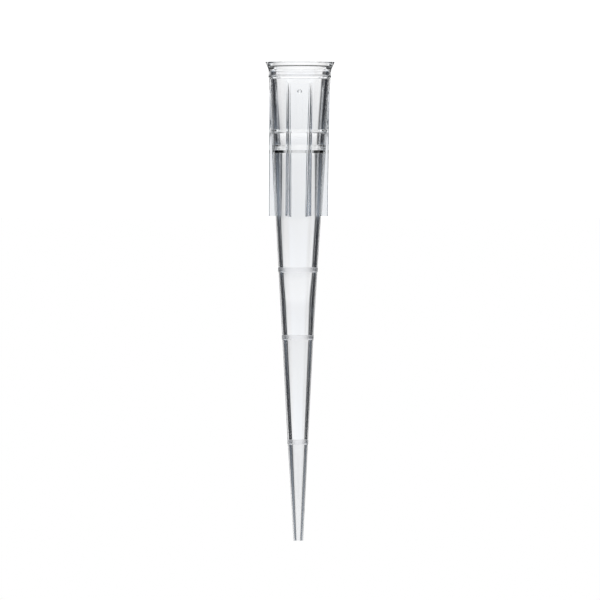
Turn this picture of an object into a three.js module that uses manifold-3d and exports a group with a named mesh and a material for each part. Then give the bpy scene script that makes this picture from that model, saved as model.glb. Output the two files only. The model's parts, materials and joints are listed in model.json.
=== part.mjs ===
// Pipette tip, moulded in one piece. A tapered bore runs from a flared mouth to a fine orifice
// inside a thin tapered wall. Outside are a collar band, a ring of long grip fins, three raised
// graduation bands and a cavity dot. Inside are a steep lead-in and two sealing rings.
// Millimetres, +Z up the axis. The mouth rim lies in the plane z = 0 and the orifice is on top.

import * as THREE from 'three';
import Module from 'manifold-3d';
import { mergeVertices } from 'three/addons/utils/BufferGeometryUtils.js';

// Lengths along the axis, stacked from the mouth rim to the orifice.
const flareHeight = 0.86;
const collarHeight = 0.74;
const collarStepHeight = 0.18;
const socketLength = 5.28; // collar step to first sealing ring
const sealSpacing = 1.59; // first sealing ring to second
const sealToNeck = 1.9; // second sealing ring to where the wall turns
const shoulderLength = 5.55; // that turn to the lower end of the fins
const finEndToFirstBand = 5.62;
const firstToSecondBand = 7.06;
const secondToThirdBand = 10.92;
const thirdBandToOrifice = 10.3;

// Bore radii, and the wall around the bore at the same places.
const socketMouthRadius = 2.73;
const socketRadius = 2.67;
const collarWall = 0.525;
const socketWall = 0.57;
const firstSealRadius = 2.335;
const secondSealRadius = 2.235;
const neckBoreRadius = 2.1;
const neckWall = 0.645;
const shoulderBoreRadius = 2.0;
const shoulderWall = 0.425;
const chamberRadius = 1.665;
const measuringRadius = 1.45;
const secondBandWall = 0.347;
const thirdBandWall = 0.29;
const orificeRadius = 0.287;
const orificeWall = 0.213;

// Mouth: a flat land to stand on, a lip and a flare outside, and a steep lead-in to the bore.
const flareOut = 0.36;
const lipHeight = 0.22;
const lipDraw = 0.06;
const rimLand = 0.635;
const mouthDepth = 0.25;
const mouthDraw = 0.015;
const leadInDepth = 0.16;
const leadInDraft = 0.02; // the lead-in ends this much wider than the collar's bore

// Collar bead, left by the join between the two halves of the mould.
const beadRise = 0.035;
const beadSlope = 0.08;
const beadBelowCollarTop = 0.11;

// Sealing rings in the bore. Each ends in a relief groove, and a low rib splits the second groove.
const sealGrooveDepth = 0.045;
const sealGrooveLength = 0.38;
const sealSlope = 0.1;
const sealStep = 0.02; // the bore is this much narrower past the first groove
const lastGrooveDepth = 0.08;
const lastGrooveLength = 0.76;
const grooveRibRise = 0.02;
const grooveRibWidth = 0.14;
const grooveRibTop = 0.04;

// Wall turn, shoulder step and the bore's short steep stretch.
const neckBlend = 4; // half the length of the curve where the wall turns
const neckBlendMost = 0.9; // of the shorter side, so that the curve always fits
const shoulderStep = 0.055;
const chamberLength = 6.2; // fin end to the steep stretch
const steepLength = 2.9;

// Fins.
const finCount = 8;
const finThickness = 0.33;
const finProud = 0.095; // beyond the collar band
const finDraft = 0.08; // the fins close in by this much towards the orifice
const finSetBack = 0.35; // collar step to where the fins start to rise
const finLeadIn = 1.3;

// Graduation bands and cavity dot.
const bandHeight = 0.5;
const bandRise = 0.03;
const bandBevel = 0.04;
const dotRadius = 0.24;
const dotRise = 0.06;
const dotAboveCollar = 1.2;

const roundSegments = 72;
const curveSteps = 8;
const dotSegments = 20;
const weldDistance = 1e-4;

// Stations up the axis.
const collarTop = flareHeight + collarHeight;
const finStart = collarTop + collarStepHeight;
const firstSeal = finStart + socketLength;
const secondSeal = firstSeal + sealSpacing;
const neck = secondSeal + sealToNeck;
const finEnd = neck + shoulderLength;
const firstBand = finEnd + finEndToFirstBand;
const secondBand = firstBand + firstToSecondBand;
const thirdBand = secondBand + secondToThirdBand;
const orifice = thirdBand + thirdBandToOrifice;
const chamberEnd = finEnd + chamberLength;
const steepEnd = chamberEnd + steepLength;

// A station is a Vector2 of radius and height.
const station = (radius, height) => new THREE.Vector2(radius, height);

function radiusAt(stations, height) {
  const next = stations.findIndex((s) => s.y >= height);
  const [a, b] = [stations[Math.max(next - 1, 0)], stations[next]];
  return a === b ? b.x : THREE.MathUtils.mapLinear(height, a.y, b.y, a.x, b.x);
}

const measuringBore = [
  station(shoulderBoreRadius, finEnd),
  station(chamberRadius, chamberEnd),
  station(measuringRadius, steepEnd),
  station(orificeRadius, orifice),
];

const bodyOutside = [
  station(shoulderBoreRadius + shoulderWall - shoulderStep, finEnd),
  station(radiusAt(measuringBore, secondBand) + secondBandWall, secondBand),
  station(radiusAt(measuringBore, thirdBand) + thirdBandWall, thirdBand),
  station(orificeRadius + orificeWall, orifice),
];

const collarRadius = socketMouthRadius + collarWall;
const rimRadius = collarRadius + flareOut;
const upperOutside = [
  station(socketRadius + socketWall, finStart),
  station(neckBoreRadius + neckWall, neck),
  station(shoulderBoreRadius + shoulderWall, finEnd),
];

function mouthAndCollarOutside() {
  const bead = collarTop - beadBelowCollarTop;
  return [
    station(rimRadius, 0),
    station(rimRadius - lipDraw, lipHeight),
    station(collarRadius, flareHeight),
    station(collarRadius, bead - beadSlope),
    station(collarRadius + beadRise, bead),
    station(collarRadius + beadRise / 2, collarTop),
  ];
}

// The cone above the collar turns into the shoulder along one smooth curve.
function upperConeOutside() {
  const [start, corner, end] = upperOutside;
  const reach = Math.min(neckBlend, neckBlendMost * Math.min(corner.y - start.y, end.y - corner.y));
  const curve = new THREE.QuadraticBezierCurve(
    corner.clone().lerp(start, reach / (corner.y - start.y)),
    corner,
    corner.clone().lerp(end, reach / (end.y - corner.y)),
  );
  return [start, ...curve.getPoints(curveSteps), end];
}

// One raised band that follows the taper of the body.
function graduationBand(middle) {
  const low = middle - bandHeight / 2;
  const high = middle + bandHeight / 2;
  return [
    station(radiusAt(bodyOutside, low), low),
    station(radiusAt(bodyOutside, low + bandBevel) + bandRise, low + bandBevel),
    station(radiusAt(bodyOutside, high - bandBevel) + bandRise, high - bandBevel),
    station(radiusAt(bodyOutside, high), high),
  ];
}

function bodyWithBands() {
  const bands = [firstBand, secondBand, thirdBand].flatMap(graduationBand);
  return [bodyOutside[0], ...bands, bodyOutside.at(-1)];
}

// The relief groove that ends a sealing ring: a slope out, a flat floor and a slope back in.
function reliefGroove(start, length, radius, depth, endRadius, onFloor = []) {
  return [
    station(radius, start),
    station(radius + depth, start + sealSlope),
    ...onFloor,
    station(radius + depth, start + length - sealSlope),
    station(endRadius, start + length),
  ];
}

// The low rib in the middle of the last groove's floor.
function grooveRib() {
  const floor = secondSealRadius + lastGrooveDepth;
  const middle = secondSeal + lastGrooveLength / 2;
  return [
    station(floor, middle - grooveRibWidth / 2),
    station(floor - grooveRibRise, middle - grooveRibTop / 2),
    station(floor - grooveRibRise, middle + grooveRibTop / 2),
    station(floor, middle + grooveRibWidth / 2),
  ];
}

function sealingRings() {
  const [r1, r2] = [firstSealRadius, secondSealRadius];
  return [
    ...reliefGroove(firstSeal, sealGrooveLength, r1, sealGrooveDepth, r1 - sealStep),
    ...reliefGroove(secondSeal, lastGrooveLength, r2, lastGrooveDepth, neckBoreRadius, grooveRib()),
  ];
}

// The bore, from the mouth to the shoulder.
function socketBore() {
  return [
    station(rimRadius - rimLand, 0),
    station(rimRadius - rimLand - mouthDraw, mouthDepth),
    station(socketMouthRadius + leadInDraft, mouthDepth + leadInDepth),
    station(socketMouthRadius, collarTop),
    station(socketRadius, finStart),
    ...sealingRings(),
  ];
}

// The whole section is one closed outline, turned about the axis.
function turnedBody() {
  const outside = [...mouthAndCollarOutside(), ...upperConeOutside(), ...bodyWithBands()];
  const inside = [...socketBore(), ...measuringBore].reverse();
  const outline = [...outside, ...inside, outside[0]];
  return new THREE.LatheGeometry(outline, roundSegments).rotateX(Math.PI / 2);
}

// A fin is a thin plate in the axial plane, rooted in the middle of the wall.
function fin(turn) {
  const finRadius = collarRadius + finProud;
  const riseStart = finStart + finSetBack;
  const root = [
    station(socketRadius + socketWall / 2, finStart),
    station(neckBoreRadius + neckWall / 2, neck),
    station(shoulderBoreRadius + shoulderWall / 2, finEnd),
  ];
  const plate = new THREE.Shape([
    ...root,
    station(finRadius - finDraft, finEnd),
    station(finRadius, riseStart + finLeadIn),
    station(radiusAt(upperOutside, riseStart), riseStart),
  ]);
  return new THREE.ExtrudeGeometry(plate, { depth: finThickness, bevelEnabled: false })
    .translate(0, 0, -finThickness / 2)
    .rotateX(Math.PI / 2)
    .rotateZ(turn);
}

// The cavity dot is a small dome on the front of the upper cone, between two fins.
function cavityDot() {
  const height = finStart + dotAboveCollar;
  const surface = radiusAt(upperOutside, height);
  const dome = new THREE.QuadraticBezierCurve(
    station(dotRadius, 0),
    station(dotRadius, dotRise),
    station(0, dotRise),
  );
  const outline = [station(0, -socketWall / 2), station(dotRadius, -socketWall / 2)];
  return new THREE.LatheGeometry([...outline, ...dome.getPoints(curveSteps)], dotSegments)
    .rotateX(Math.PI)
    .translate(0, -surface, height);
}

const wasm = await Module();
wasm.setup();

function toSolid(geometry) {
  const bare = geometry.clone();
  bare.deleteAttribute('normal');
  bare.deleteAttribute('uv');
  const merged = mergeVertices(bare, weldDistance);
  return new wasm.Manifold(new wasm.Mesh({
    numProp: 3,
    vertProperties: Float32Array.from(merged.attributes.position.array),
    triVerts: Uint32Array.from(merged.index.array),
  }));
}

function toGeometry(solid) {
  const mesh = solid.getMesh();
  const geometry = new THREE.BufferGeometry();
  geometry.setAttribute('position', new THREE.BufferAttribute(mesh.vertProperties, 3));
  geometry.setIndex(new THREE.BufferAttribute(mesh.triVerts, 1));
  geometry.computeVertexNormals();
  return geometry;
}

const finTurn = (2 * Math.PI) / finCount;
const fins = Array.from({ length: finCount }, (_, i) => fin((i + 0.5) * finTurn));
const tipSolid = [...fins, cavityDot()].reduce(
  (solid, geometry) => solid.add(toSolid(geometry)),
  toSolid(turnedBody()),
);

const clearPolypropylene = new THREE.MeshStandardMaterial({
  color: 0xe9eef2,
  roughness: 0.12,
  metalness: 0,
  transparent: true,
  opacity: 0.45,
});

const tip = new THREE.Mesh(toGeometry(tipSolid), clearPolypropylene);
tip.name = 'pipette_tip';

const pipetteTip = new THREE.Group();
pipetteTip.add(tip);

export default pipetteTip;
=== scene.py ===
# A pipette tip in clear polypropylene, standing on the rim of its mouth.

import json
import math

import bmesh
import bpy
from mathutils import Matrix, Vector

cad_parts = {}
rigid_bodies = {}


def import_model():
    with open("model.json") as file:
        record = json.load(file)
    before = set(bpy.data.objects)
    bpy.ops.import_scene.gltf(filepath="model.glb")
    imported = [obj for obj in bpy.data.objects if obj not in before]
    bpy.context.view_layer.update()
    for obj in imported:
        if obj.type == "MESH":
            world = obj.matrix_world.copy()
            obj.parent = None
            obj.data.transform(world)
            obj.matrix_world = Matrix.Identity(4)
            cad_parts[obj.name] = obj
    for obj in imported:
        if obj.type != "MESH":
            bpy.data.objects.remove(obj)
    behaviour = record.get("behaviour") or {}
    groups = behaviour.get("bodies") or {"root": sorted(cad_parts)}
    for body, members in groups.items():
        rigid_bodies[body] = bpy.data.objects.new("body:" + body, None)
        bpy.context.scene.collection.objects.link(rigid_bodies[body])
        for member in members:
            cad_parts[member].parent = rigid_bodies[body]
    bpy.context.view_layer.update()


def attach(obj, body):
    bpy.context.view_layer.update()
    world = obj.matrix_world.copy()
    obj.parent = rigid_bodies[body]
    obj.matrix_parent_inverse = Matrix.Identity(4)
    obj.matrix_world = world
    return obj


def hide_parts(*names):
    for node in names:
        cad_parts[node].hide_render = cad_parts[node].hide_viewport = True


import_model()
mm = 0.001


# The tip. Lengths are in millimetres, and heights run up the axis from the mouth rim.

tip = {
    # mouth, collar and the cone above it, outside
    "rimRadius": 3.615,
    "rimLand": 0.635,
    "rimRounding": 0.008,
    "lipHeight": 0.22,
    "lipDraw": 0.06,
    "flareHeight": 0.86,
    "flareRounding": 0.3,
    "collarRadius": 3.255,
    "collarTop": 1.6,
    "beadHeight": 1.49,
    "beadRise": 0.035,
    "beadSlope": 0.08,
    "stepRadius": 3.175,
    "stepHeight": 1.72,  # the outside steps in here, between the collar and the fins
    "finStart": 1.78,
    "socketOuterRadius": 3.215,
    "neckHeight": 10.55,
    "neckOuterRadius": 2.745,
    "neckReach": 4.0,  # how far the wall's smooth turn runs to both sides
    "finEnd": 16.1,
    "shoulderOuterRadius": 2.425,
    # body and graduation bands
    "bodyStartRadius": 2.37,
    "secondBandRadius": 1.63,
    "thirdBandRadius": 1.06,
    "orificeOuterRadius": 0.5,
    "orifice": 50.0,
    "bandHeights": (21.72, 28.78, 39.7),
    "bandHalfHeight": 0.25,
    "bandRise": 0.03,
    "bandBevel": 0.08,
    # bore
    "mouthDepth": 0.29,
    "mouthDraw": 0.015,
    "leadInDepth": 0.38,
    "leadInRadius": 2.75,
    "socketMouthRadius": 2.73,
    "boreStepHeight": 1.76,
    "socketRadius": 2.67,
    # sealing rings, each with the heights and rises of its corners
    "firstSeal": 7.06,
    "firstSealRadius": 2.335,
    "firstSealSteps": ((0.0, 0.0), (0.18, 0.045), (0.28, 0.045), (0.38, -0.02)),
    "secondSeal": 8.65,
    "secondSealRadius": 2.235,
    "secondSealSteps": (
        (0.0, 0.0), (0.2, 0.08), (0.31, 0.08), (0.36, 0.06), (0.4, 0.06), (0.45, 0.08),
        (0.56, 0.08), (0.86, -0.135),
    ),
    "shoulderBoreRadius": 2.0,
    "chamberEnd": 22.3,
    "chamberRadius": 1.665,
    "steepEnd": 25.2,
    "measuringRadius": 1.45,
    "orificeRadius": 0.287,
    # fins
    "finCount": 8,
    "finRadius": 3.38,
    "finDraft": 0.08,
    "finSetBack": 0.35,
    "finLeadIn": 1.3,
    "finThickness": 0.13,
    "finThicknessEnd": 0.2,  # at the end towards the orifice
    "finCorner": 0.04,
    "finFillet": 0.03,
    "valleySteps": 14,  # facets in half the wall between two fins
    # the moulding bows sideways, most at bowHeight
    "bow": 0.24,
    "bowHeight": 33.0,
}


edgeRounding = 0.02
boreBlend = 0.5  # where the bore's taper changes
mostOfEdge = 0.48  # of an edge that the rounding of one corner may take
nearly = 1e-3
tiny = 1e-4


def roundedOutline(corners):
    # corners are (radius, height, reach): reach is how far the rounding runs to both sides. The
    # first corner is rounded towards the last one in the list. At the rim that is the wrong
    # neighbour, a known fault: the rim's two edges fold back on themselves by 0.004 and 0.015 mm,
    # and the inner fold is left open.
    points = []
    for i, (radius, height, reach) in enumerate(corners):
        here = Vector((radius, height))
        if not reach:
            points.append(here)
            continue
        before = Vector(corners[i - 1][:2])
        after = Vector(corners[(i + 1) % len(corners)][:2])
        cut = [min(reach, mostOfEdge * (end - here).length) for end in (before, after)]
        start = here + (before - here).normalized() * cut[0]
        end = here + (after - here).normalized() * cut[1]
        steps = 4 if reach < 1 else 16
        for k in range(steps + 1):
            t = k / steps
            points.append(start * (1 - t) ** 2 + here * (2 * t * (1 - t)) + end * t ** 2)
    return points


def withHeights(points, heights):
    # adds a point to the outline at each of these heights
    result = []
    for a, b in zip(points, points[1:]):
        result.append(a)
        low, high = min(a.y, b.y), max(a.y, b.y)
        inside = sorted((h for h in heights if low + tiny < h < high - tiny), reverse=a.y > b.y)
        result += [a.lerp(b, (h - a.y) / (b.y - a.y)) for h in inside]
    return result + [points[-1]]


def alongTaper(stations, height):
    for (r0, h0), (r1, h1) in zip(stations, stations[1:]):
        if h0 <= height <= h1:
            return r0 + (r1 - r0) * (height - h0) / (h1 - h0)
    return stations[-1][0]


bodyTaper = [
    (tip["bodyStartRadius"], tip["finEnd"]),
    (tip["secondBandRadius"], tip["bandHeights"][1]),
    (tip["thirdBandRadius"], tip["bandHeights"][2]),
    (tip["orificeOuterRadius"], tip["orifice"]),
]
socketTaper = [
    (tip["socketOuterRadius"], tip["finStart"]),
    (tip["neckOuterRadius"], tip["neckHeight"]),
]


def outsideOutline():
    # the part up to the fin ends, and the body beyond them
    t = tip
    finStart = t["finStart"] + t["finSetBack"]
    finRows = [finStart + x for x in (0.0, 0.04, 0.1, 0.2, 0.35, 0.6, 0.9, t["finLeadIn"], 3, 5)]
    upper = roundedOutline([
        (t["rimRadius"], 0, t["rimRounding"]),
        (t["rimRadius"] - t["lipDraw"], t["lipHeight"], 0.1),
        (t["collarRadius"], t["flareHeight"], t["flareRounding"]),
        (t["collarRadius"], t["beadHeight"] - t["beadSlope"], edgeRounding),
        (t["collarRadius"] + t["beadRise"], t["beadHeight"], edgeRounding),
        (t["collarRadius"] + t["beadRise"] / 2, t["collarTop"], edgeRounding),
        (t["stepRadius"], t["stepHeight"], 0.03),
        (t["socketOuterRadius"], t["finStart"], 0),
        (t["neckOuterRadius"], t["neckHeight"], t["neckReach"]),
        (t["shoulderOuterRadius"], t["finEnd"], 0),
    ])
    upper = withHeights(upper, finRows)
    lower = [(t["bodyStartRadius"], t["finEnd"], 0)]
    for middle in t["bandHeights"]:
        for side, bevel, rise in ((-1, 0, 0), (-1, 1, 1), (1, 1, 1), (1, 0, 0)):
            height = middle + side * (t["bandHalfHeight"] - bevel * t["bandBevel"])
            radius = alongTaper(bodyTaper, height) + rise * t["bandRise"]
            lower.append((radius, height, edgeRounding))
    lower.append((t["orificeOuterRadius"], t["orifice"], 0.03))
    lower.append((t["orificeRadius"], t["orifice"], 0))
    return upper, roundedOutline(lower)[:-1]


def sealCorners(height, radius, steps):
    return [(radius + rise, height + up, edgeRounding) for up, rise in steps]


def insideOutline():
    # from the orifice back to the mouth
    t = tip
    corners = [
        (t["rimRadius"] - t["rimLand"], 0, 0.03),
        (t["rimRadius"] - t["rimLand"] - t["mouthDraw"], t["mouthDepth"], edgeRounding),
        (t["leadInRadius"], t["leadInDepth"], edgeRounding),
        (t["socketMouthRadius"], t["collarTop"], 0.01),
        (t["socketRadius"], t["boreStepHeight"], 0.03),
        *sealCorners(t["firstSeal"], t["firstSealRadius"], t["firstSealSteps"]),
        *sealCorners(t["secondSeal"], t["secondSealRadius"], t["secondSealSteps"]),
        (t["shoulderBoreRadius"], t["finEnd"], boreBlend),
        (t["chamberRadius"], t["chamberEnd"], boreBlend),
        (t["measuringRadius"], t["steepEnd"], boreBlend),
        (t["orificeRadius"], t["orifice"], 0),
    ]
    return roundedOutline(corners)[::-1]


halfSector = math.pi / tip["finCount"]
arcSteps = 3  # facets in a rounded corner or fillet of a fin
mostOfRise = 0.45  # of a fin's rise that its corner or its fillet may take


def plainRing(radius):
    # half a sector without a fin, its points spread as the fin's are
    finPoints = 2 * arcSteps + 3
    finAngle = (tip["finThickness"] / 2 + tip["finFillet"]) / tip["shoulderOuterRadius"]
    angles = [finAngle * i / finPoints for i in range(finPoints)]
    angles += [finAngle + (halfSector - finAngle) * i / tip["valleySteps"]
               for i in range(tip["valleySteps"] + 1)]
    return [(radius * math.cos(a), radius * math.sin(a)) for a in angles]


def finRing(wallRadius, finRadius, thickness):
    # half a sector with a fin: round corner, straight side, fillet, then the wall
    rise = finRadius - wallRadius
    half = thickness / 2
    corner = min(tip["finCorner"], mostOfRise * rise)
    fillet = min(tip["finFillet"], mostOfRise * rise)
    points = [(finRadius, 0)]
    for i in range(arcSteps + 1):
        a = 0.5 * math.pi * i / arcSteps
        points.append((finRadius - corner * (1 - math.cos(a)), half - corner * (1 - math.sin(a))))
    centreY = half + fillet
    centreX = math.sqrt((wallRadius + fillet) ** 2 - centreY ** 2)
    wallAngle = math.atan2(centreY, centreX)
    points.append(((points[-1][0] + centreX) / 2, (points[-1][1] + half) / 2))
    for i in range(arcSteps + 1):
        a = -math.pi / 2 - (math.pi / 2 - wallAngle) * i / arcSteps
        points.append((centreX + fillet * math.cos(a), centreY + fillet * math.sin(a)))
    for i in range(1, tip["valleySteps"] + 1):
        a = wallAngle + (halfSector - wallAngle) * i / tip["valleySteps"]
        points.append((wallRadius * math.cos(a), wallRadius * math.sin(a)))
    return points


def finRadiusAt(height, wallRadius):
    t = tip
    start = t["finStart"] + t["finSetBack"]
    full = start + t["finLeadIn"]
    radius = t["finRadius"] - t["finDraft"] * (height - full) / (t["finEnd"] - full)
    if height < full:
        along = (height - start) / t["finLeadIn"]
        radius = wallRadius + (t["finRadius"] - wallRadius) * along
    return radius


def sectorMesh():
    # one sector of the tip, with its fin in the middle and its two cut sides open
    upper, lower = outsideOutline()
    rows = []
    for p in upper:
        if p.y > tip["finStart"] + tip["finSetBack"] + nearly:
            along = (p.y - tip["finStart"]) / (tip["finEnd"] - tip["finStart"])
            thickness = tip["finThickness"] + (tip["finThicknessEnd"] - tip["finThickness"]) * along
            rows.append((p.y, finRing(p.x, finRadiusAt(p.y, p.x), thickness)))
        else:
            rows.append((p.y, plainRing(p.x)))
    rows += [(p.y, plainRing(p.x)) for p in [*lower, *insideOutline()]]
    vertices = []
    for height, half in rows:
        vertices += [(x, -y, height) for x, y in half[:0:-1]]
        vertices += [(x, y, height) for x, y in half]
    columns = 2 * len(rows[0][1]) - 1
    faces = []
    for r in range(len(rows)):
        nextRow = (r + 1) % len(rows)
        for c in range(columns - 1):
            faces.append((r * columns + c, r * columns + c + 1,
                          nextRow * columns + c + 1, nextRow * columns + c))
    mesh = bpy.data.meshes.new("tipSector")
    mesh.from_pydata(vertices, [], faces)
    return mesh


def maths(nodes, link, operation, *values):
    node = nodes.new("ShaderNodeMath")
    node.operation = operation
    for socket, value in zip(node.inputs, values):
        if isinstance(value, (int, float)):
            socket.default_value = value
        else:
            link(value, socket)
    return node.outputs[0]


def sectorRingTree():
    # repeats a sector round the axis and welds the copies into one body
    tree = bpy.data.node_groups.new("sectorRing", "GeometryNodeTree")
    for name, kind in (("Geometry", "Geometry"), ("Count", "Int"), ("Weld", "Float"),
                       ("Material", "Material")):
        tree.interface.new_socket(name, in_out="INPUT", socket_type="NodeSocket" + kind)
    tree.interface.new_socket("Geometry", in_out="OUTPUT", socket_type="NodeSocketGeometry")
    nodes, link = tree.nodes, tree.links.new
    given = nodes.new("NodeGroupInput")
    points = nodes.new("GeometryNodePoints")
    link(given.outputs["Count"], points.inputs["Count"])
    index = nodes.new("GeometryNodeInputIndex")
    middle = maths(nodes, link, "ADD", index.outputs[0], 0.5)
    share = maths(nodes, link, "DIVIDE", middle, given.outputs["Count"])
    rotation = nodes.new("ShaderNodeCombineXYZ")
    link(maths(nodes, link, "MULTIPLY", share, 2 * math.pi), rotation.inputs["Z"])
    copies = nodes.new("GeometryNodeInstanceOnPoints")
    link(points.outputs[0], copies.inputs["Points"])
    link(given.outputs["Geometry"], copies.inputs["Instance"])
    link(rotation.outputs[0], copies.inputs["Rotation"])
    real = nodes.new("GeometryNodeRealizeInstances")
    link(copies.outputs[0], real.inputs[0])
    weld = nodes.new("GeometryNodeMergeByDistance")
    link(real.outputs[0], weld.inputs["Geometry"])
    link(given.outputs["Weld"], weld.inputs["Distance"])
    finish = nodes.new("GeometryNodeSetMaterial")
    link(weld.outputs[0], finish.inputs["Geometry"])
    link(given.outputs["Material"], finish.inputs["Material"])
    result = nodes.new("NodeGroupOutput")
    link(finish.outputs[0], result.inputs[0])
    return tree


def evaluatedMesh(obj):
    return bpy.data.meshes.new_from_object(obj.evaluated_get(bpy.context.evaluated_depsgraph_get()))


def runTree(obj, tree, values):
    modifier = obj.modifiers.new(tree.name, "NODES")
    modifier.node_group = tree
    for item in tree.interface.items_tree:
        if item.in_out == "INPUT" and item.name in values:
            modifier[item.identifier] = values[item.name]
    made = evaluatedMesh(obj)
    obj.modifiers.remove(modifier)
    return made


cavityDot = {
    "height": 3.12,
    "radius": 0.25,
    "rise": 0.19,
    "root": 0.2,  # how far its foot reaches into the wall
    "rings": 7,
    "points": 24,
}


def cavityDotMesh():
    # a small dome on the front of the cone, between two fins
    d = cavityDot
    surface = alongTaper(socketTaper, d["height"])
    bm = bmesh.new()
    rows = [(d["radius"], surface - d["root"])]
    for k in range(d["rings"]):
        turn = math.pi / 2 * k / d["rings"]
        rows.append((d["radius"] * math.cos(turn), surface + d["rise"] * math.sin(turn)))
    loops = []
    for radius, out in rows:
        turns = [2 * math.pi * i / d["points"] for i in range(d["points"])]
        loops.append([bm.verts.new((radius * math.cos(a), -out, d["height"] + radius * math.sin(a)))
                      for a in turns])
    for a, b in zip(loops, loops[1:]):
        for i in range(d["points"]):
            k = (i + 1) % d["points"]
            bm.faces.new((a[i], a[k], b[k], b[i]))
    top = bm.verts.new((0, -surface - d["rise"], d["height"]))
    for i in range(d["points"]):
        bm.faces.new((loops[-1][i], loops[-1][(i + 1) % d["points"]], top))
    bm.faces.new(loops[0][::-1])
    bmesh.ops.recalc_face_normals(bm, faces=bm.faces)
    mesh = bpy.data.meshes.new("cavityDot")
    bm.to_mesh(mesh)
    bm.free()
    return mesh


def joined(mesh, addition):
    # the body and the dot as one mesh
    scene = bpy.context.scene.collection.objects
    main = bpy.data.objects.new("joinMain", mesh)
    extra = bpy.data.objects.new("joinExtra", addition)
    scene.link(main)
    scene.link(extra)
    union = main.modifiers.new("union", "BOOLEAN")
    union.operation = "UNION"
    union.solver = "EXACT"
    union.object = extra
    made = evaluatedMesh(main)
    bpy.data.objects.remove(main)
    bpy.data.objects.remove(extra)
    return made


bandSkin = 0.05  # how far under the body's surface a band's own faces may reach
weldDistance = 2e-4
sharpAngle = 25


def onBand(middle, vertices):
    # whether a face lies on the raised top of one of the graduation bands
    for height in tip["bandHeights"]:
        if abs(middle.z - height) < tip["bandHalfHeight"] + nearly:
            outside = alongTaper(bodyTaper, middle.z)
            return all(math.hypot(v.x, v.y) > outside - bandSkin for v in vertices)
    return False


def makeTip(clear, frosted):
    sector = bpy.data.objects.new("tipSector", sectorMesh())
    bpy.context.scene.collection.objects.link(sector)
    mesh = runTree(sector, sectorRingTree(),
                   {"Count": tip["finCount"], "Weld": weldDistance, "Material": clear})
    bpy.data.objects.remove(sector)
    mesh = joined(mesh, cavityDotMesh())
    mesh.materials.clear()
    for material in (clear, frosted):
        mesh.materials.append(material)
    bm = bmesh.new()
    bm.from_mesh(mesh)
    for face in bm.faces:
        face.material_index = int(onBand(face.calc_center_median(), [v.co for v in face.verts]))
    for v in bm.verts:
        # the moulding is slightly bowed, from the mouth to the orifice
        v.co.x += tip["bow"] * (1 - (v.co.z / tip["bowHeight"] - 1) ** 2)
    bmesh.ops.scale(bm, vec=(mm, mm, mm), verts=bm.verts)
    bmesh.ops.recalc_face_normals(bm, faces=bm.faces)
    openEdges = sum(1 for e in bm.edges if not e.is_manifold)
    volume = bm.calc_volume() / mm ** 3
    print(f"tip: {len(bm.faces)} faces, {volume:.1f} mm3, {openEdges} open edges")
    bm.to_mesh(mesh)
    bm.free()
    mesh.shade_smooth()
    mesh.set_sharp_from_angle(angle=math.radians(sharpAngle))
    obj = bpy.data.objects.new("pipetteTipClear", mesh)
    bpy.context.scene.collection.objects.link(obj)
    return obj


# Materials

def newMaterial(name):
    material = bpy.data.materials.new(name)
    material.use_nodes = True
    nodes = material.node_tree.nodes
    return material, nodes, material.node_tree.links.new, nodes["Principled BSDF"]


plastic = {
    "clearColour": (0.99, 0.993, 0.997, 1),
    "frostedColour": (0.965, 0.965, 0.98, 1),
    "ior": 1.49,
    "clearRoughness": 0.0,
    "frostedRoughness": 0.33,
    "streakWidth": 0.35,  # of the faint lines that the flow leaves along the tip
    "streakLength": 12.0,
    "streakDepth": 0.0015,
    "streakHaze": 0.012,  # how much light a streak takes
    "grainSize": 0.03,  # of the etched finish on the bands
    "grainDepth": 0.002,
}


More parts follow.
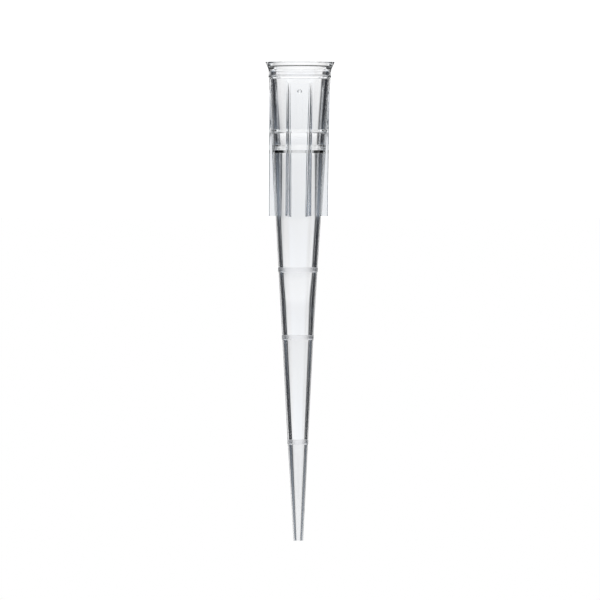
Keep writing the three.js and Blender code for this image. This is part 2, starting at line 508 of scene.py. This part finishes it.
def mouldedFinishTree():
    # what the mould leaves on the plastic: long faint streaks, and a fine grain where it is etched
    tree = bpy.data.node_groups.new("mouldedFinish", "ShaderNodeTree")
    for name in ("Streak Width", "Streak Length", "Streak Haze", "Grain Size", "Grain"):
        tree.interface.new_socket(name, in_out="INPUT", socket_type="NodeSocketFloat")
    tree.interface.new_socket("Colour", in_out="INPUT", socket_type="NodeSocketColor")
    tree.interface.new_socket("Colour", in_out="OUTPUT", socket_type="NodeSocketColor")
    tree.interface.new_socket("Relief", in_out="OUTPUT", socket_type="NodeSocketFloat")
    nodes, link = tree.nodes, tree.links.new
    given = nodes.new("NodeGroupInput")
    place = nodes.new("ShaderNodeTexCoord")
    across = maths(nodes, link, "DIVIDE", 1.0, given.outputs["Streak Width"])
    along = maths(nodes, link, "DIVIDE", 1.0, given.outputs["Streak Length"])
    stretch = nodes.new("ShaderNodeCombineXYZ")
    link(across, stretch.inputs["X"])
    link(across, stretch.inputs["Y"])
    link(along, stretch.inputs["Z"])
    stretched = nodes.new("ShaderNodeVectorMath")
    stretched.operation = "MULTIPLY"
    link(place.outputs["Object"], stretched.inputs[0])
    link(stretch.outputs[0], stretched.inputs[1])
    streaks = nodes.new("ShaderNodeTexNoise")
    streaks.inputs["Scale"].default_value = 1 / mm
    streaks.inputs["Detail"].default_value = 2
    link(stretched.outputs[0], streaks.inputs["Vector"])
    grain = nodes.new("ShaderNodeTexNoise")
    grain.inputs["Detail"].default_value = 2
    grainScale = maths(nodes, link, "DIVIDE", 1 / mm, given.outputs["Grain Size"])
    link(grainScale, grain.inputs["Scale"])
    link(place.outputs["Object"], grain.inputs["Vector"])
    relief = nodes.new("ShaderNodeMix")
    link(given.outputs["Grain"], relief.inputs[0])
    link(streaks.outputs[0], relief.inputs[2])
    link(grain.outputs[0], relief.inputs[3])
    haze = maths(nodes, link, "MULTIPLY", streaks.outputs[0], given.outputs["Streak Haze"])
    kept = maths(nodes, link, "SUBTRACT", 1.0, haze)
    shade = nodes.new("ShaderNodeVectorMath")
    shade.operation = "SCALE"
    link(given.outputs["Colour"], shade.inputs[0])
    link(kept, shade.inputs["Scale"])
    result = nodes.new("NodeGroupOutput")
    link(shade.outputs[0], result.inputs["Colour"])
    link(relief.outputs[0], result.inputs["Relief"])
    return tree


def polypropylene(name, finish, colour, roughness, grain, depth):
    material, nodes, link, shader = newMaterial(name)
    moulded = nodes.new("ShaderNodeGroup")
    moulded.node_tree = finish
    moulded.inputs["Streak Width"].default_value = plastic["streakWidth"]
    moulded.inputs["Streak Length"].default_value = plastic["streakLength"]
    moulded.inputs["Streak Haze"].default_value = plastic["streakHaze"]
    moulded.inputs["Grain Size"].default_value = plastic["grainSize"]
    moulded.inputs["Grain"].default_value = grain
    moulded.inputs["Colour"].default_value = colour
    link(moulded.outputs["Colour"], shader.inputs["Base Color"])
    bump = nodes.new("ShaderNodeBump")
    bump.inputs["Distance"].default_value = depth * mm
    link(moulded.outputs["Relief"], bump.inputs["Height"])
    link(bump.outputs[0], shader.inputs["Normal"])
    shader.inputs["IOR"].default_value = plastic["ior"]
    shader.inputs["Roughness"].default_value = roughness
    shader.inputs["Transmission Weight"].default_value = 1
    return material


# Light

# The studio is a set of rings. The first is at the horizon, the next ones lie lower and lower, and
# the last is above. The stops in a ring are degrees from straight behind, towards +X, and a
# brightness. "edge" is where a ring takes over, in degrees above the horizon, and "sides" is the
# tint of its light away from the white panels.

whitePanels = ((-17.5, 17.5), (-105, -75))  # between these the light has no tint
lightRings = [
    {
        # the bright panel behind, one at the left, dark sides and a broad light by the camera
        "edge": None,
        "sides": (0.84, 0.9, 1.02),
        "stops": [
            (-180, 1.05), (-126, 1.05), (-118, 0.2), (-106, 0.12), (-104, 0.95), (-76, 0.95),
            (-74, 0.06), (-18, 0.03), (-14.5, 0.04), (-12.5, 1.0), (0, 1.0), (17, 1.1), (19, 0.04),
            (24, 0.03), (70, 0.06), (116, 0.25), (126, 1.05), (180, 1.05),
        ],
    },
    {
        # a few degrees lower the panel behind fades at its sides
        "edge": (2.2, -1.2),
        "sides": (0.74, 0.86, 1.02),
        "stops": [
            (-180, 1.05), (-126, 1.05), (-118, 0.25), (-106, 0.25), (-104, 0.9), (-76, 0.9),
            (-74, 0.25), (-38, 0.27), (-25, 0.05), (-16.5, 0.03), (-14, 0.75), (-8, 0.82),
            (8, 0.82), (11, 0.72), (15.5, 0.7), (17.5, 0.03), (26, 0.05), (40, 0.27), (60, 0.25),
            (116, 0.25), (126, 1.05), (180, 1.05),
        ],
    },
    {
        # bright nearly all round
        "edge": (-4.8, -6.8),
        "sides": (0.93, 0.97, 1.0),
        "stops": [
            (-180, 1.2), (-75, 1.3), (-35, 0.9), (-15, 0.65), (0, 1.0), (12, 0.65), (25, 0.55),
            (50, 0.9), (75, 1.2), (180, 1.3),
        ],
    },
    {
        # a panel between dark ones, at the right by the camera
        "edge": (-12.0, -12.8),
        "sides": (0.9, 0.95, 1.0),
        "stops": [
            (-180, 0.1), (-152, 0.1), (-148, 1.2), (-75, 1.3), (-35, 0.9), (-15, 0.65), (0, 1.0),
            (12, 0.65), (25, 0.55), (55, 0.9), (60, 0.1), (118, 0.1), (122, 0.95), (150, 0.95),
            (154, 0.1), (180, 0.1),
        ],
    },
    {
        "edge": (-17.2, -18.0),
        "sides": (1.0, 1.0, 1.0),
        "stops": [(-180, 1.4), (-60, 1.2), (0, 1.15), (60, 1.2), (180, 1.4)],
    },
    {
        # a panel between dark ones, at the left
        "edge": (-22.0, -22.8),
        "sides": (0.9, 0.95, 1.0),
        "stops": [
            (-180, 1.4), (-122, 1.3), (-118, 0.1), (-62, 0.1), (-58, 0.95), (-32, 0.95), (-28, 0.1),
            (-12, 0.1), (-10, 1.15), (10, 1.15), (12, 0.1), (28, 0.1), (32, 1.2), (180, 1.4),
        ],
    },
    {
        "edge": (-27.2, -28.0),
        "sides": (1.0, 1.0, 1.0),
        "stops": [(-180, 1.5), (-60, 1.3), (0, 1.15), (60, 1.3), (180, 1.5)],
    },
    {
        # duller underneath
        "edge": (-45.0, -55.0),
        "sides": (0.95, 0.98, 1.0),
        "stops": [(-180, 0.75), (-90, 0.3), (0, 0.75), (90, 0.3), (180, 0.75)],
    },
    {
        # overhead, dim except by the camera
        "edge": (7.5, 10.0),
        "sides": (0.95, 0.98, 1.0),
        "stops": [
            (-180, 1.5), (-80, 1.4), (-65, 0.45), (-25, 0.4), (-10, 0.6), (0, 0.7), (12, 0.6),
            (25, 0.4), (65, 0.45), (80, 1.4), (180, 1.6),
        ],
    },
]
softLight = 0.8  # what a dull surface, such as the floor, receives from all round


def lightRing(nodes, link, share, ring):
    ramp = nodes.new("ShaderNodeValToRGB")
    made = ramp.color_ramp.elements
    while len(made) > 1:
        made.remove(made[-1])
    for i, (degrees, level) in enumerate(ring["stops"]):
        place = (degrees + 180) / 360
        stop = made[0] if i == 0 else made.new(place)
        stop.position = place
        white = any(low <= degrees <= high for low, high in whitePanels)
        tint = (1, 1, 1) if white else ring["sides"]
        stop.color = (*(level * c for c in tint), 1)
    link(share, ramp.inputs[0])
    return ramp.outputs[0]


def heightShare(nodes, link, height, start, end):
    share = nodes.new("ShaderNodeMapRange")
    share.inputs["From Min"].default_value = math.sin(math.radians(start))
    share.inputs["From Max"].default_value = math.sin(math.radians(end))
    link(height, share.inputs["Value"])
    return share.outputs[0]


def mixed(nodes, link, share, a, b):
    mix = nodes.new("ShaderNodeMix")
    mix.data_type = "RGBA"
    for source, socket in ((share, mix.inputs[0]), (a, mix.inputs[6]), (b, mix.inputs[7])):
        if isinstance(source, (int, float, tuple)):
            socket.default_value = source
        else:
            link(source, socket)
    return mix.outputs[2]


def makeWorld():
    world = bpy.data.worlds.new("studio")
    bpy.context.scene.world = world
    world.use_nodes = True
    nodes, link = world.node_tree.nodes, world.node_tree.links.new
    nodes.clear()
    place = nodes.new("ShaderNodeTexCoord")
    axes = nodes.new("ShaderNodeSeparateXYZ")
    link(place.outputs["Generated"], axes.inputs[0])
    azimuth = maths(nodes, link, "ARCTAN2", axes.outputs["X"], axes.outputs["Y"])
    turn = nodes.new("ShaderNodeMapRange")
    turn.inputs["From Min"].default_value = -math.pi
    turn.inputs["From Max"].default_value = math.pi
    link(azimuth, turn.inputs["Value"])
    height = axes.outputs["Z"]
    for ring in lightRings:
        brightness = lightRing(nodes, link, turn.outputs[0], ring)
        if ring["edge"] is None:
            colour = brightness
        else:
            share = heightShare(nodes, link, height, *ring["edge"])
            colour = mixed(nodes, link, share, colour, brightness)
    path = nodes.new("ShaderNodeLightPath")
    soft = (softLight, softLight, softLight, 1)
    colour = mixed(nodes, link, path.outputs["Is Diffuse Ray"], colour, soft)
    colour = mixed(nodes, link, path.outputs["Is Camera Ray"], colour, (1, 1, 1, 1))
    background = nodes.new("ShaderNodeBackground")
    link(colour, background.inputs["Color"])
    result = nodes.new("ShaderNodeOutputWorld")
    link(background.outputs[0], result.inputs["Surface"])


floorSide = 6
floorGlow = 0.33


def makeFloor():
    # white to the camera with a soft shadow, and open to light that has passed through the plastic
    mesh = bpy.data.meshes.new("floor")
    half = floorSide / 2
    corners = [(-half, -half, 0), (half, -half, 0), (half, half, 0), (-half, half, 0)]
    mesh.from_pydata(corners, [], [(0, 1, 2, 3)])
    floor = bpy.data.objects.new("floor", mesh)
    bpy.context.scene.collection.objects.link(floor)
    material, nodes, link, shader = newMaterial("paleFloor")
    shader.inputs["Base Color"].default_value = (0.9, 0.9, 0.9, 1)
    shader.inputs["Roughness"].default_value = 1
    shader.inputs["Specular IOR Level"].default_value = 0
    shader.inputs["Emission Color"].default_value = (1, 1, 1, 1)
    shader.inputs["Emission Strength"].default_value = floorGlow
    clear = nodes.new("ShaderNodeBsdfTransparent")
    path = nodes.new("ShaderNodeLightPath")
    through = maths(nodes, link, "MAXIMUM", path.outputs["Is Transmission Ray"],
                    path.outputs["Is Glossy Ray"])
    mix = nodes.new("ShaderNodeMixShader")
    link(through, mix.inputs[0])
    link(shader.outputs[0], mix.inputs[1])
    link(clear.outputs[0], mix.inputs[2])
    link(mix.outputs[0], nodes["Material Output"].inputs["Surface"])
    mesh.materials.append(material)


# The camera is level and upside down, so the mouth is at the top of the frame. It stands far off.

view = {
    "distance": 1600,
    "height": 24.86,
    "lens": 919.1,
}


def makeCamera():
    data = bpy.data.cameras.new("camera")
    data.lens = view["lens"]
    data.clip_start, data.clip_end = 0.01, 20
    camera = bpy.data.objects.new("camera", data)
    camera.location = Vector((0, -view["distance"], view["height"])) * mm
    level = Vector((0, 1, 0)).to_track_quat("-Z", "Y").to_matrix().to_4x4()
    camera.rotation_euler = (level @ Matrix.Rotation(math.pi, 4, "Z")).to_euler()
    bpy.context.scene.collection.objects.link(camera)
    bpy.context.scene.camera = camera


makeCamera()
makeWorld()
makeFloor()
print(f"studio: camera, floor and {len(lightRings)} rings of light")
finish = mouldedFinishTree()
clear = polypropylene("clearPolypropylene", finish, plastic["clearColour"],
                      plastic["clearRoughness"], 0.0, plastic["streakDepth"])
frosted = polypropylene("frostedPolypropylene", finish, plastic["frostedColour"],
                        plastic["frostedRoughness"], 1.0, plastic["grainDepth"])
print("materials: clear and frosted polypropylene")
piece = makeTip(clear, frosted)
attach(piece, "root")
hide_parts("pipette_tip")
bpy.context.scene.view_settings.view_transform = "Standard"
